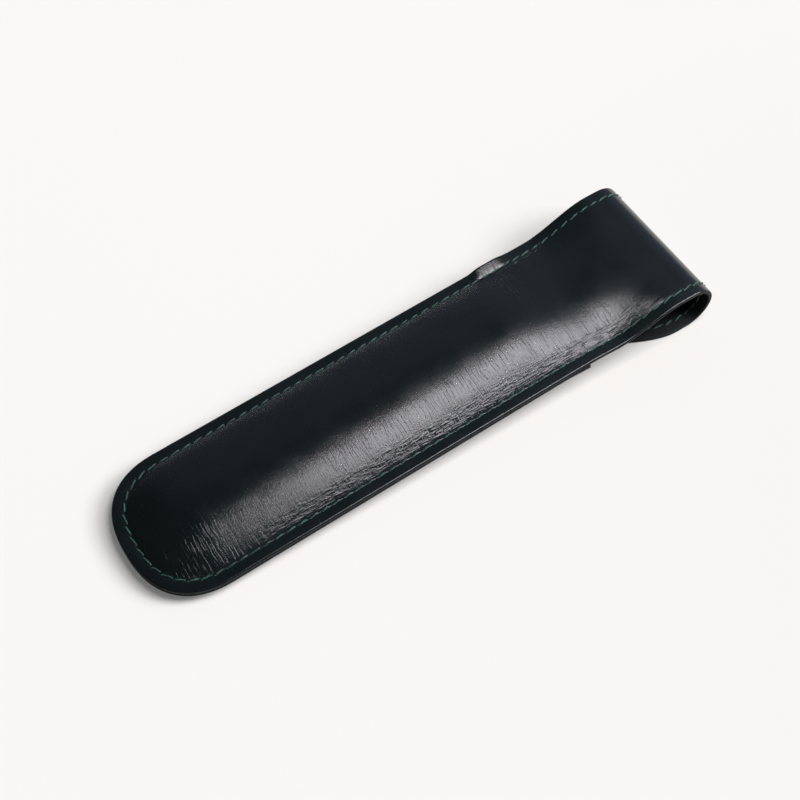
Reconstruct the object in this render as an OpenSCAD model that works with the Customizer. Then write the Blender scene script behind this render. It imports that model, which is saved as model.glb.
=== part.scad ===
// Slim leather pen case: a lined pouch with a rounded foot, and a back panel
// that runs on past the mouth, rolls over and lies along the front as a tongue.
// It lies face down, so the plain back is on top and the tongue is underneath.
// X runs along the case towards the roll, Z is up, and the table is at Z = 0.

/* [Case] */
// Length from the rounded foot to the outside of the roll
case_len = 171.5; // [150:1:200]
// Width of the pouch
case_w = 42.4; // [36:0.2:52]
// Depth of the pouch, from the foot to its mouth
pouch_len = 132; // [110:1:140]
// Length over which the foot's corners are rounded
foot_len = 19.5; // [16:0.5:28]
// How square the foot is, 2 being an ellipse
foot_power = 2.4; // [2:0.1:4]
// Height of the seam above the table at the foot
foot_lift = 3; // [2.4:0.1:4]
// Height of the seam above the table at the mouth
mouth_lift = 8.6; // [7:0.1:9.6]
// Rise of the back over its rim near the foot
back_crown = 4.9; // [3:0.1:6]
// Depth of the dip in the front's mouth, for a thumb
mouth_dip = 5; // [1:0.5:10]
// How far the front's corners stand out at the mouth
corner_flare = 0.4; // [0:0.1:1]

/* [Leather] */
// Thickness of the outer leather
leather_t = 0.8; // [0.8:0.1:1.2]
// Thickness of the lining
lining_t = 0.4; // [0.4:0.1:0.8]

/* [Flap] */
// Outside radius of the roll
roll_r = 7.6; // [7.4:0.1:9]
// How far each edge of the flap stands out past the pouch at the roll, where the leather lies flat
flap_flare = 0.8; // [0:0.1:6]
// Width of the tongue
tongue_w = 20; // [14:0.5:24]
// Length of the tongue, from the roll's centre to its tip
tongue_len = 55.7; // [48:0.5:58]
// Length of the tongue's parallel part and tip
tongue_end = 19; // [14:0.5:22]
// Width of the keeper band that the tongue tucks under
keeper_w = 8; // [5:0.5:10]
// Thickness of the keeper band
keeper_t = 0.8; // [0.7:0.1:1.2]
// Gap between the tongue's tip and the keeper band
keeper_gap = 2.5; // [1:0.5:6]

/* [Stitching] */
// Distance from the edge to the stitch line
stitch_margin = 3.2; // [2.6:0.1:4]
// Length of one stitch, hole to hole
stitch_pitch = 3.4; // [2.8:0.1:4.5]
// Thickness of the thread
thread_d = 0.5; // [0.4:0.05:0.8]
// How far the thread stands proud of the leather
thread_proud = 0.2; // [0.1:0.05:0.3]

/* [Hidden] */
LEAVES = 7;
function names(stem) = [for (k = [1 : LEAVES]) str(stem, "_", k)];

// Colours of the leather, its lining and the thread
leather_colour = [0.06, 0.08, 0.09];
lining_colour = [0.10, 0.11, 0.11];
thread_colour = [0.06, 0.32, 0.25];

// The small flat at the very end of the foot
foot_flat = 0.3;
// How far the tongue's bed stays above the tongue
tongue_clearance = 0.5;
// The slack between the keeper band and the front
keeper_slack = 0.3;
// Where along the pouch the front lifts off the table
lift_off = 62;
// The stretch past the mouth that still has the pouch's section
neck_start = 6.5;
// The level stretch of the neck before the roll
neck_level = 4;
// How far the back sags beside the mouth, and where the sag starts, is deepest and ends
neck_sag = 2;
sag_start = 114;
sag_lowest = 136;
sag_end = 156;
// Where the back starts to widen towards the roll
flare_start = 124;
// How far before the roll's centre the flap starts to taper into the tongue
taper_inset = 3;
// The stretch before the mouth over which the front's corners flare
flare_len = 12;
// The length of the tongue's rounded tip
tip_len = 10;
// The gap inside a hole between the legs of the stitches on its two faces
leg_gap = 0.2;
// The space that two stitches leave between them at a hole
stitch_space = 0.7;
// One overrun for every cut
over = 1;
// The share by which the front's dome is pressed flat where it faces the table
belly_share = 0.15;

// Rows and columns of the shells, and how they crowd towards the foot, the rim and the mouth's dip
POUCH_ROWS = 22;
NECK_ROWS = 8;
COLUMNS = 16;
row_power = 1.8;
column_power = 1.35;
dip_power = 8;
// Points on a path that stitches are spaced along, and how they crowd towards its rounded end
PATH_POINTS = 240;
line_power = 2.2;
// Points round the tongue's outline
TONGUE_POINTS = 80;

wall_t = leather_t + lining_t;
half_case = case_w / 2;
flap_w = case_w + 2 * flap_flare;
roll_x = case_len - roll_r;
roll_top = 2 * roll_r;
leaf_angle = 180 / (LEAVES + 1);
leaf_tan = tan(leaf_angle / 2);
tip_x = roll_x - tongue_len;
keeper_x = tip_x - keeper_gap - keeper_w;
tongue_bed = wall_t + tongue_clearance;
stitch_len = stitch_pitch - stitch_space;
leg_len = (wall_t + thread_proud - leg_gap) / 2;
leaf_len = 2 * roll_r * leaf_tan;
// Where the flat neck and the flat tongue meet the roll, on their inner faces
roll_start = roll_x + (roll_r - wall_t) * leaf_tan;

function lerp(a, b, t) = a + (b - a) * t;
function clamp01(t) = min(1, max(0, t));
function smooth(t) = let (c = clamp01(t)) c * c * (3 - 2 * c);

// Height of the seam between back and front, and of the neck's underside past the mouth
function seam_z(x) = lerp(foot_lift, mouth_lift, x / pouch_len);
function neck_share(x) = smooth((x - pouch_len - neck_start)
    / (roll_x - neck_level - pouch_len - neck_start));
function rim_z(x) = x <= pouch_len ? seam_z(x) : lerp(mouth_lift, roll_top - wall_t, neck_share(x));

// Half the width of the case at x, with its rounded foot
function foot_share(x) = x >= foot_len ? 1
    : pow(1 - pow(1 - (x + foot_flat) / (foot_len + foot_flat), foot_power), 1 / foot_power);
function flare_share(x) = smooth((x - flare_start) / (roll_x - neck_level - flare_start));
function back_half(x) = half_case * foot_share(x) + flap_flare * flare_share(x);
function front_half(x) = half_case * foot_share(x)
    + corner_flare * smooth((x - pouch_len + flare_len) / flare_len);

// The dome between the stitch lines: 1 along the middle and 0 on the rim
function foot_rho(x) = max(0, 1 - (x - stitch_margin) / foot_len);
function side_rho(x, y) = abs(y) / (half_case - stitch_margin + flap_flare * flare_share(x));
function dome(x, y) = max(0, 1 - pow(pow(foot_rho(x), foot_power) + pow(side_rho(x, y), foot_power),
    2 / foot_power));

// Outer face of the back, which sags a little beside the mouth and is level again at the roll
function sag(x) = neck_sag * smooth((x - sag_start) / (sag_lowest - sag_start))
    * smooth((sag_end - x) / (sag_end - sag_lowest));
function crown(x) = (x <= pouch_len
    ? lerp(back_crown, roll_top - wall_t - mouth_lift, x / pouch_len)
    : roll_top - wall_t - rim_z(x)) - sag(x);
function back_z(x, y) = rim_z(x) + wall_t + crown(x) * dome(x, y);

// Outer face of the front, flat on the table at first and then clear of the tongue
function front_floor(x) = tongue_bed * smooth((x - lift_off) / (tip_x - lift_off));
function front_z(x, y) = max(front_floor(x),
    seam_z(x) - wall_t - (1 + belly_share) * (seam_z(x) - wall_t - front_floor(x)) * dome(x, y));

// A closed sheet between two grids of points, rows along X and columns along Y
function grid_faces(rows, cols) = let (n = cols + 1, m = (rows + 1) * n) concat(
    [for (i = [0 : rows - 1], j = [0 : cols - 1], s = [0, 1])
        let (a = i * n + j, b = a + 1, c = b + n, d = a + n) s == 0 ? [a, b, c] : [a, c, d]],
    [for (i = [0 : rows - 1], j = [0 : cols - 1], s = [0, 1])
        let (a = m + i * n + j, b = a + 1, c = b + n, d = a + n) s == 0 ? [c, b, a] : [d, c, a]],
    [for (i = [0 : rows - 1], s = [0, 1])
        let (a = i * n, d = a + n) s == 0 ? [a, d, d + m] : [a, d + m, a + m]],
    [for (i = [0 : rows - 1], s = [0, 1])
        let (a = i * n + cols, d = a + n) s == 0 ? [d, a, a + m] : [d, a + m, d + m]],
    [for (j = [0 : cols - 1], s = [0, 1])
        let (a = j, b = a + 1) s == 0 ? [b, a, a + m] : [b, a + m, b + m]],
    [for (j = [0 : cols - 1], s = [0, 1])
        let (a = rows * n + j, b = a + 1) s == 0 ? [a, b, b + m] : [a, b + m, a + m]]);
module sheet(top, bottom, rows, cols) {
    polyhedron(points = concat(top, bottom), faces = grid_faces(rows, cols), convexity = 6);
}

function column_at(j) = let (v = 2 * j / COLUMNS - 1) sign(v) * (1 - pow(1 - abs(v), column_power));
function pouch_row(i) = pouch_len * pow(i / POUCH_ROWS, row_power);
function back_row(i) = i <= POUCH_ROWS ? pouch_row(i)
    : lerp(pouch_len, roll_x, (i - POUCH_ROWS) / NECK_ROWS);

// One face of the back panel at a depth below its outer face; its last row is mitred to the roll,
// from whose axis its points are measured along the case, so that the mitre is exact
function back_face(depth) = [for (i = [0 : POUCH_ROWS + NECK_ROWS], j = [0 : COLUMNS])
    let (last = i == POUCH_ROWS + NECK_ROWS,
        x = back_row(i),
        y = column_at(j) * back_half(x))
        [x - roll_x + (last ? (roll_r - depth) * leaf_tan : 0), y, back_z(x, y) - depth]];
module back_sheet(upper, lower) {
    translate([roll_x, 0, 0])
        sheet(back_face(upper), back_face(lower), POUCH_ROWS + NECK_ROWS, COLUMNS);
}

// One face of the front panel at a height above its outer face, with the dip in its mouth
function front_face(height) = [for (i = [0 : POUCH_ROWS], j = [0 : COLUMNS])
    let (x = pouch_row(i),
        c = column_at(j),
        y = c * front_half(x),
        dipped = x - mouth_dip * pow(i / POUCH_ROWS, dip_power) * (1 - c * c))
        [dipped, y, front_z(dipped, y) + height]];
module front_sheet(upper, lower) {
    sheet(front_face(upper), front_face(lower), POUCH_ROWS, COLUMNS);
}

// A stitch: a flat bar with a leg at each end, lying along X, its upper face at Z = 0
module stitch(len, leg) {
    rotate([90, 0, 0])
        linear_extrude(height = thread_d, center = true)
            polygon([[-len / 2, -leg], [-len / 2, -thread_d / 2], [-len / 2 + thread_d / 2, 0],
                [len / 2 - thread_d / 2, 0], [len / 2, -thread_d / 2], [len / 2, -leg],
                [len / 2 - thread_d, -leg], [len / 2 - thread_d, -thread_d],
                [-len / 2 + thread_d, -thread_d], [-len / 2 + thread_d, -leg]]);
}

// A stitch laid from one point to the next, on a face that looks up (side 1) or down (side -1)
module stitch_between(a, b, side) {
    d = b - a;
    run = norm([d.x, d.y]);
    translate((a + b) / 2)
        rotate([0, -atan2(d.z, run), atan2(d.y, d.x)])
            scale([1, 1, side])
                translate([0, 0, thread_proud])
                    stitch(min(stitch_len, norm(d) - stitch_space), leg_len);
}

// Distance run so far along a list of points, and the point at a given distance
function run_table(pts) = [for (i = 0, s = 0; i < len(pts);
    s = s + (i + 1 < len(pts) ? norm(pts[i + 1] - pts[i]) : 0), i = i + 1) [s, i]];
function at_run(pts, table, s) = let (f = lookup(s, table), i = min(len(pts) - 2, floor(f)))
    lerp(pts[i], pts[i + 1], f - i);

// The stitch line round the back panel: along one side, round the foot and back up the other
function line_half(x) = let (r = foot_rho(x)) r >= 1 ? 0
    : pow(1 - pow(r, foot_power), 1 / foot_power) * (back_half(max(x, foot_len)) - stitch_margin);
function line_x(t) = lerp(stitch_margin, roll_start, pow(abs(t), line_power));
seam_line = [for (i = [0 : PATH_POINTS])
    let (t = 2 * i / PATH_POINTS - 1, x = line_x(t)) [x, sign(t) * line_half(x)]];
seam_table = run_table(seam_line);
seam_run = seam_table[PATH_POINTS][0];
SEAM_STITCHES = round(seam_run / stitch_pitch);
function seam_point(k) = at_run(seam_line, seam_table, seam_run * k / SEAM_STITCHES);
function on_top(p) = [p.x, p.y, back_z(p.x, p.y)];
function band_here(x) = x > keeper_x && x < keeper_x + keeper_w ? keeper_t : 0;
function below(p) = [p.x, p.y, p.x < pouch_len ? front_z(p.x, p.y) - band_here(p.x)
    : back_z(p.x, p.y) - wall_t];
function beside_mouth(a, b) = (a.x - pouch_len) * (b.x - pouch_len) < 0;

// Half the width of the tongue at x, drawn in by an inset for its stitch line
function tongue_half(x, inset) = let (
    tapered = lerp(flap_w, tongue_w,
        smooth((roll_x - taper_inset - x) / (tongue_len - taper_inset - tongue_end))) / 2 - inset,
    tip = clamp01((tip_x + tip_len - x) / (tip_len - inset)))
    tapered * sqrt(1 - tip * tip);
function tongue_x(t, inset) = lerp(tip_x + inset, roll_start, t * t);
function tongue_line(inset, n) = [for (i = [0 : n])
    let (t = 2 * i / n - 1, x = tongue_x(t, inset)) [x, sign(t) * tongue_half(x, inset)]];
tongue_path = tongue_line(stitch_margin, PATH_POINTS);
tongue_table = run_table(tongue_path);
tongue_run = tongue_table[PATH_POINTS][0];
TONGUE_STITCHES = round(tongue_run / stitch_pitch);
function tongue_point(k, z) = let (p = at_run(tongue_path, tongue_table,
    tongue_run * k / TONGUE_STITCHES)) [p.x, p.y, z];

module back_leather() {
    color(leather_colour) back_sheet(0, leather_t);
}

module back_lining() {
    color(lining_colour) back_sheet(leather_t, wall_t);
}

module front_leather() {
    color(leather_colour) front_sheet(leather_t, 0);
}

module front_lining() {
    color(lining_colour) front_sheet(wall_t, leather_t);
}

// The keeper lies across the front, sewn into both side seams and slack between them
module keeper_band() {
    rows = 2;
    function face(depth) = [for (i = [0 : rows], j = [0 : COLUMNS])
        let (x = keeper_x + keeper_w * i / rows, y = column_at(j) * half_case)
            [x, y, front_z(x, y) - keeper_slack * dome(x, y) - depth]];
    color(leather_colour) sheet(face(0), face(keeper_t), rows, COLUMNS);
}

// The thread that sews back to front round the pouch, and runs on up both edges of the neck
module seam_thread() {
    color(thread_colour) for (k = [0 : SEAM_STITCHES - 1]) {
        a = seam_point(k);
        b = seam_point(k + 1);
        stitch_between(on_top(a), on_top(b), 1);
        if (!beside_mouth(a, b)) stitch_between(below(a), below(b), -1);
    }
}

// One flat leaf of the roll between two depths below its outer face
module leaf(k, upper, lower) {
    function corner(i, depth) = let (a = 90 - leaf_angle * (i - 1 / 2))
        (roll_r - depth) / cos(leaf_angle / 2) * [cos(a), sin(a)];
    translate([roll_x, 0, roll_r])
        rotate([90, 0, 0])
            linear_extrude(height = flap_w, center = true)
                polygon([corner(k, upper), corner(k + 1, upper), corner(k + 1, lower), corner(k, lower)]);
}

// The stitches of one leaf, one on each face near each edge
module leaf_stitches(k) {
    for (side = [-1, 1])
        translate([roll_x, side * (flap_w / 2 - stitch_margin), roll_r])
            rotate([0, leaf_angle * k, 0]) {
                translate([0, 0, roll_r + thread_proud])
                    stitch(leaf_len - stitch_space, leg_len);
                translate([0, 0, roll_r - wall_t - thread_proud])
                    scale([1, 1, -1])
                        stitch(leaf_len - stitch_space - 2 * wall_t * leaf_tan, leg_len / 2);
            }
}

// The tongue between two heights above the table, mitred to the last leaf
module tongue(lower, upper) {
    intersection() {
        translate([0, 0, lower])
            linear_extrude(height = upper - lower)
                polygon(concat(tongue_line(0, TONGUE_POINTS),
                    [[roll_x + roll_r, flap_w / 2], [roll_x + roll_r, -flap_w / 2]]));
        translate([roll_x, 0, 0])
            rotate([90, 0, 0])
                linear_extrude(height = flap_w + 2 * over, center = true)
                    polygon([[-tongue_len - over, lower], [-tongue_len - over, upper],
                        [(roll_r - upper) * leaf_tan, upper],
                        [(roll_r - lower) * leaf_tan, lower]]);
    }
}

module tongue_leather() {
    color(leather_colour) tongue(0, leather_t);
}

module tongue_lining() {
    color(lining_colour) tongue(leather_t, wall_t);
}

// The tongue's thread is pressed flush into the face that lies on the table
module tongue_thread() {
    color(thread_colour) for (k = [0 : TONGUE_STITCHES - 1]) {
        stitch_between(tongue_point(k, thread_proud), tongue_point(k + 1, thread_proud), -1);
        stitch_between(tongue_point(k, wall_t), tongue_point(k + 1, wall_t), 1);
    }
}

// The origin is under the middle of the case, with the thread that stands proud of the roll
module placed() {
    translate([-(case_len + thread_proud) / 2, 0, 0]) children();
}

placed() {
    back_leather();
    back_lining();
    front_leather();
    front_lining();
    keeper_band();
    seam_thread();
    for (k = [1 : LEAVES]) {
        color(leather_colour) leaf(k, 0, leather_t);
        color(lining_colour) leaf(k, leather_t, wall_t);
        color(thread_colour) leaf_stitches(k);
    }
    tongue_leather();
    tongue_lining();
    tongue_thread();
}
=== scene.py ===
import math

import bmesh
import bpy
import numpy as np
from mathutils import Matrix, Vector, noise


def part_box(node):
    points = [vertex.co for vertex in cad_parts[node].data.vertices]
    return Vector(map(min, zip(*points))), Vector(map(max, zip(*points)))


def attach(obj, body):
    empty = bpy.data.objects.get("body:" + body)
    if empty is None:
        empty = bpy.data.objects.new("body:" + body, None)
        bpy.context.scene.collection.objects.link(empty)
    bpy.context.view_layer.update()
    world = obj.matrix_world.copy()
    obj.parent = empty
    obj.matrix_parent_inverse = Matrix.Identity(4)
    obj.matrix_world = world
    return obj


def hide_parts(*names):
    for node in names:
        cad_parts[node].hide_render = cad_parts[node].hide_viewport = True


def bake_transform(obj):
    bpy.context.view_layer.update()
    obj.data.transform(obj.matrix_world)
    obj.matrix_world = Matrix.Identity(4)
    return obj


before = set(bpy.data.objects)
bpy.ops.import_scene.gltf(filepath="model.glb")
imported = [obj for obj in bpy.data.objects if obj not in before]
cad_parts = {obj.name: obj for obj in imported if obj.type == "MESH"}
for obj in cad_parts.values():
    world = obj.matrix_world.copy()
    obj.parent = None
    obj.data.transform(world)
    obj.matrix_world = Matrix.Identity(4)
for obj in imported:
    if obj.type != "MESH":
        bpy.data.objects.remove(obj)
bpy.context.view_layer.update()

# The setting: the case lies face down on a plain pale table, under one large soft light
# nearly overhead and a second, lower one on the roll's side. The room is dark, and paler
# only low down beyond the roll, which the gloss of the leather shows.
CAMERA_AIM = Vector((-0.00220, 0.00201, 0.0))
CAMERA_AZIMUTH = math.radians(-33.385)
CAMERA_ELEVATION = math.radians(58.123)
CAMERA_DISTANCE = 0.38
CAMERA_LENS_MM = 62.961
CAMERA_NEAR = 0.01
TABLE_SIZE = 6.0
TABLE_COLOUR = (0.722, 0.720, 0.660)
# Painted light and shade on the table: how much paler its paint is, for each metre along and
# across and for the square of each. The paint is darker towards the lamps and paler away from
# them, which evens out their light.
TABLE_PAINTED_LIGHT_SLOPE = (-1.96, 1.14, 0)
TABLE_PAINTED_LIGHT_CURVE = (3.78, 4.05, 0)
TABLE_ROUGHNESS = 0.9
TABLE_SEEN_COLOUR = (0.931, 0.914, 0.905, 1)
TABLE_SEEN_SHARE = 0.15
LAMP_COLOUR = (1.0, 0.97, 1.03)
SOFTBOXES = [
    # name, middle, size along X, size along Y, power in watts
    ("overhead_softbox", (0.196, -0.091, 0.50), 0.348, 0.218, 2.50),
    ("side_softbox", (0.68, -0.38, 0.62), 0.40, 0.40, 9.0),
]
ROOM_DARK = (0.040, 0.046, 0.048, 1)
ROOM_PALE = (0.26, 0.29, 0.39, 1)
ROOM_ACROSS = (-0.30, 0.80)
ROOM_FADE = (0.74, 0.92)


def add_object(name, data):
    """An object in the scene, with its mesh, lamp or camera."""
    thing = bpy.data.objects.new(name, data)
    bpy.context.scene.collection.objects.link(thing)
    return thing


def aim_at(thing, place, target):
    """Places a lamp or the camera so that it looks at a point."""
    thing.location = place
    thing.rotation_euler = (Vector(target) - Vector(place)).to_track_quat("-Z", "Y").to_euler()


NODES_IN_ROW = 8
NODE_STEP = (200, -240)


def feed(tree, socket, value):
    """Gives a socket a value, or another node's output."""
    if isinstance(value, bpy.types.NodeSocket):
        tree.links.new(value, socket)
    else:
        socket.default_value = value


def new_node(tree, kind, inputs=None, **settings):
    """A node with its settings and inputs, each a value or another node's output."""
    row, column = divmod(len(tree.nodes), NODES_IN_ROW)
    node = tree.nodes.new(kind)
    node.location = (column * NODE_STEP[0], row * NODE_STEP[1])
    for name, value in settings.items():
        setattr(node, name, value)
    for name, value in (inputs or {}).items():
        feed(tree, node.inputs[name], value)
    return node


def calc(tree, operation, first, second=0.0):
    """A sum of two values, each a number or a node's output."""
    return new_node(tree, "ShaderNodeMath", {0: first, 1: second}, operation=operation).outputs[0]


def ramp(tree, value, from_min, from_max, to_min=0.0, to_max=1.0, kind="SMOOTHSTEP"):
    """A value taken from one range to another, and held at its ends."""
    inputs = {"Value": value, "From Min": from_min, "From Max": from_max, "To Min": to_min,
              "To Max": to_max}
    return new_node(tree, "ShaderNodeMapRange", inputs, interpolation_type=kind).outputs["Result"]


def mix_colours(tree, share, first, second):
    inputs = {"Factor": share, "A": first, "B": second}
    return new_node(tree, "ShaderNodeMix", inputs, data_type="RGBA").outputs["Result"]


def new_material(name, values):
    """A material, its tree and its shader, with the shader's own values."""
    material = bpy.data.materials.new(name)
    material.use_nodes = True
    tree = material.node_tree
    shader = tree.nodes["Principled BSDF"]
    for label, value in values.items():
        shader.inputs[label].default_value = value
    return material, tree, shader


def add_camera():
    camera = add_object("camera", bpy.data.cameras.new("camera"))
    camera.data.lens = CAMERA_LENS_MM
    camera.data.clip_start = CAMERA_NEAR
    level = math.cos(CAMERA_ELEVATION)
    back = Vector((math.sin(CAMERA_AZIMUTH) * level, -math.cos(CAMERA_AZIMUTH) * level,
                   math.sin(CAMERA_ELEVATION)))
    aim_at(camera, CAMERA_AIM + back * CAMERA_DISTANCE, CAMERA_AIM)
    bpy.context.scene.camera = camera


def add_softboxes():
    for name, place, length, depth, power in SOFTBOXES:
        lamp = bpy.data.lights.new(name, "AREA")
        lamp.shape = "RECTANGLE"
        lamp.size = length
        lamp.size_y = depth
        lamp.energy = power
        lamp.color = LAMP_COLOUR
        softbox = add_object(name, lamp)
        aim_at(softbox, place, (0, 0, 0))
        if name == "overhead_softbox":
            softbox.rotation_euler = (0, 0, 0)


def table_material():
    """Matt and pale, with painted shade near the lamps and painted light away from them. The camera
    sees part of it unshaded, so the background is even.
    """
    material, tree, shader = new_material("pale_table_with_painted_light", {"Roughness": TABLE_ROUGHNESS,
                                                         "Specular IOR Level": 0.0})

    def vector_math(operation, inputs):
        return new_node(tree, "ShaderNodeVectorMath", inputs, operation=operation).outputs

    place = new_node(tree, "ShaderNodeTexCoord").outputs["Object"]
    square = vector_math("MULTIPLY", {0: place, 1: place})[0]
    # Painted light and shade: the paint is darker towards the lamps and paler away from them
    slope = vector_math("DOT_PRODUCT", {0: place, 1: TABLE_PAINTED_LIGHT_SLOPE})["Value"]
    curve = vector_math("DOT_PRODUCT", {0: square, 1: TABLE_PAINTED_LIGHT_CURVE})["Value"]
    paler = calc(tree, "ADD", calc(tree, "ADD", slope, curve), 1)
    paint = vector_math("SCALE", {0: TABLE_COLOUR, "Scale": paler})[0]
    feed(tree, shader.inputs["Base Color"], paint)
    glow = new_node(tree, "ShaderNodeEmission", {"Color": TABLE_SEEN_COLOUR}).outputs[0]
    camera_ray = new_node(tree, "ShaderNodeLightPath").outputs["Is Camera Ray"]
    seen = calc(tree, "MULTIPLY", camera_ray, TABLE_SEEN_SHARE)
    mix = new_node(tree, "ShaderNodeMixShader", {0: seen, 1: shader.outputs[0], 2: glow})
    feed(tree, tree.nodes["Material Output"].inputs["Surface"], mix.outputs[0])
    return material


def add_table():
    h = TABLE_SIZE / 2
    mesh = bpy.data.meshes.new("table")
    mesh.from_pydata([(-h, -h, 0), (h, -h, 0), (h, h, 0), (-h, h, 0)], [], [(0, 1, 2, 3)])
    table = add_object("table", mesh)
    mesh.materials.append(table_material())


def light_room():
    """Paler low down beyond the roll, and dark overhead and towards the foot."""
    world = bpy.data.worlds.new("room")
    bpy.context.scene.world = world
    world.use_nodes = True
    tree = world.node_tree
    direction = new_node(tree, "ShaderNodeTexCoord").outputs["Generated"]
    split = new_node(tree, "ShaderNodeSeparateXYZ", {0: direction}).outputs
    across = ramp(tree, split["X"], *ROOM_ACROSS, kind="LINEAR")
    low = ramp(tree, split["Z"], *ROOM_FADE, 1, 0)
    colour = mix_colours(tree, calc(tree, "MULTIPLY", across, low), ROOM_DARK, ROOM_PALE)
    feed(tree, tree.nodes["Background"].inputs["Color"], colour)


bpy.context.scene.view_settings.view_transform = "Standard"
add_camera()
add_softboxes()
add_table()
light_room()

# Back panel, outer leather: one piece of smooth, glazed calf that covers the pouch, runs on as
# a neck past the mouth and over the roll. It swells between the stitch lines over the pen's
# space, its cut edges are rounded and painted, and the hide is finely creased from bending.
LEATHER_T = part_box("tongue_leather")[1].z
WALL_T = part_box("tongue_lining")[1].z
ROLL_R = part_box("back_leather")[1].z / 2
ROLL_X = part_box("roll_leather_4")[1].x - ROLL_R
FOOT_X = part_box("back_leather")[0].x
MOUTH_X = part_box("front_leather")[1].x
HALF_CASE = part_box("keeper_band")[1].y
HALF_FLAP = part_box("roll_leather_4")[1].y
FOOT_LEN = 0.0195
FOOT_POWER = 2.4
FOOT_OVER = 0.0003
FOOT_LIFT = 0.003
MOUTH_LIFT = 0.0086
BACK_CROWN = 0.0049
NECK_START = 0.0065
NECK_LEVEL = 0.004
NECK_SAG = 0.002
SAG_START = FOOT_X + 0.114
SAG_LOWEST = FOOT_X + 0.136
SAG_END = FOOT_X + 0.156
FLARE_START = FOOT_X + 0.124
STITCH_MARGIN = 0.0032
STITCH_PITCH = 0.0034
COLUMN_STEP = 0.0007
LINE_SAMPLES = 2000
ROUND_STEPS = 4
EDGE_ROUND = 0.00038
BACK_EDGE_ROUND = 0.00012
# Distances in from the edge at which a panel has a row of points
EDGE_ROWS = [0.0006, 0.0011, 0.0017, 0.0022, 0.0025, 0.0027, 0.0029, 0.00305, 0.0032, 0.00335,
             0.0035, 0.0037, 0.0039, 0.0042]
WRINKLED_TO = 0.0090
WRINKLED_STEP = 0.00028
PANEL_ROWS = EDGE_ROWS + list(np.arange(EDGE_ROWS[-1] + WRINKLED_STEP, WRINKLED_TO,
                                        WRINKLED_STEP))
MIDDLE_ROWS = 22
# How the leather is drawn in along its stitches, and how it bulges and creases beside them
GROOVE_DEPTH = 0.00003
GROOVE_WIDTH = 0.00060
HOLE_DEPTH = 0.00014
HOLE_WIDTH = 0.00036
MARGIN_BULGE = 0.00002
NEAR_WRINKLE = 0.00004
RIDGE_RUN, RIDGE_LEAN, RIDGE_SPACING, RIDGE_SEED = 0.0052, 0.004, 0.00085, 3.0
FAR_WRINKLE = 0.00002
GATHER_RUN, GATHER_SPACING, GATHER_SEED = 0.0016, 0.0011, 7.0
NEAR_GATHERED = 0.6
SWAY = 0.00006
SWAY_LENGTH, SWAY_WIDTH, SWAY_SEED = 0.018, 0.010, 11.0
SWAY_FROM_SEAM, SWAY_FROM_ROLL = 0.004, 0.012
# The bands beside the stitches that wrinkle. Each pair is a place and the length of the fade
# there: at the foot, at the roll, and on the side of the edge and of the middle.
RIDGES = ((FOOT_X + 0.016, 0.020), (ROLL_X - 0.004, 0.020), (0.0034, 0.0008), (WRINKLED_TO, 0.0030))
GATHERS = ((FOOT_X + 0.016, 0.020), (ROLL_X - 0.004, 0.020), (0.0034, 0.0004), (0.0062, 0.0022))
WRINKLES = ((FOOT_X + 0.022, 0.020), (ROLL_X - 0.006, 0.014), (0.0035, 0.0005), (0.0088, 0.0035))
# The far margin is tipped up over a short stretch beside the mouth
CURL_FROM = FOOT_X + 0.1184
CURL_TO = FOOT_X + 0.1330
CURL_RISE, CURL_FALL = 0.0042, 0.0060
CURL_OUT = 0.00008
CURL_UP = 0.00088


def smooth(t):
    t = np.clip(t, 0, 1)
    return t * t * (3 - 2 * t)


def rise(value, start, over):
    """0 up to a start, and then smoothly up to 1 over a length."""
    return smooth((value - start) / over)


def fall(value, end, over):
    """1 at first, and then smoothly down to 0 over the length before an end."""
    return smooth((end - value) / over)


def lerp(a, b, t):
    return a + (b - a) * t


def noise_at(x, y, z=0.0, octaves=3):
    """Fractal noise, about -1 to 1, for arrays of places."""
    x, y = np.broadcast_arrays(x, y)
    flat = [noise.fractal(Vector((a, b, z)), 1.0, 2.0, octaves)
            for a, b in zip(x.ravel(), y.ravel())]
    return np.array(flat).reshape(x.shape)


def seam_height(x):
    return lerp(FOOT_LIFT, MOUTH_LIFT, (x - FOOT_X) / (MOUTH_X - FOOT_X))


def neck_share(x):
    start = MOUTH_X + NECK_START
    return rise(x, start, ROLL_X - NECK_LEVEL - start)


def flare_share(x):
    return rise(x, FLARE_START, ROLL_X - NECK_LEVEL - FLARE_START)


def rim_height(x):
    return np.where(x <= MOUTH_X, seam_height(x),
                    lerp(MOUTH_LIFT, 2 * ROLL_R - WALL_T, neck_share(x)))


def dome(x, y):
    """1 along the middle, 0 from the stitch lines out."""
    foot = np.maximum(0, 1 - (x - FOOT_X - STITCH_MARGIN) / FOOT_LEN)
    half = HALF_CASE - STITCH_MARGIN + (HALF_FLAP - HALF_CASE) * flare_share(x)
    rho = (foot ** FOOT_POWER + (np.abs(y) / half) ** FOOT_POWER) ** (2 / FOOT_POWER)
    return np.maximum(0, 1 - rho)


def back_height(x, y):
    """Height of the back's plain outer face, which sags a little beside the mouth."""
    at_mouth = 2 * ROLL_R - WALL_T - MOUTH_LIFT
    crown = np.where(x <= MOUTH_X, lerp(BACK_CROWN, at_mouth, (x - FOOT_X) / (MOUTH_X - FOOT_X)),
                     2 * ROLL_R - WALL_T - rim_height(x))
    sag = rise(x, SAG_START, SAG_LOWEST - SAG_START) * fall(x, SAG_END, SAG_END - SAG_LOWEST)
    return rim_height(x) + WALL_T + (crown - NECK_SAG * sag) * dome(x, y)


def back_half(x):
    half = HALF_CASE + (HALF_FLAP - HALF_CASE) * flare_share(x)
    return np.where(x > FOOT_X + FOOT_LEN, half, HALF_CASE)


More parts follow.
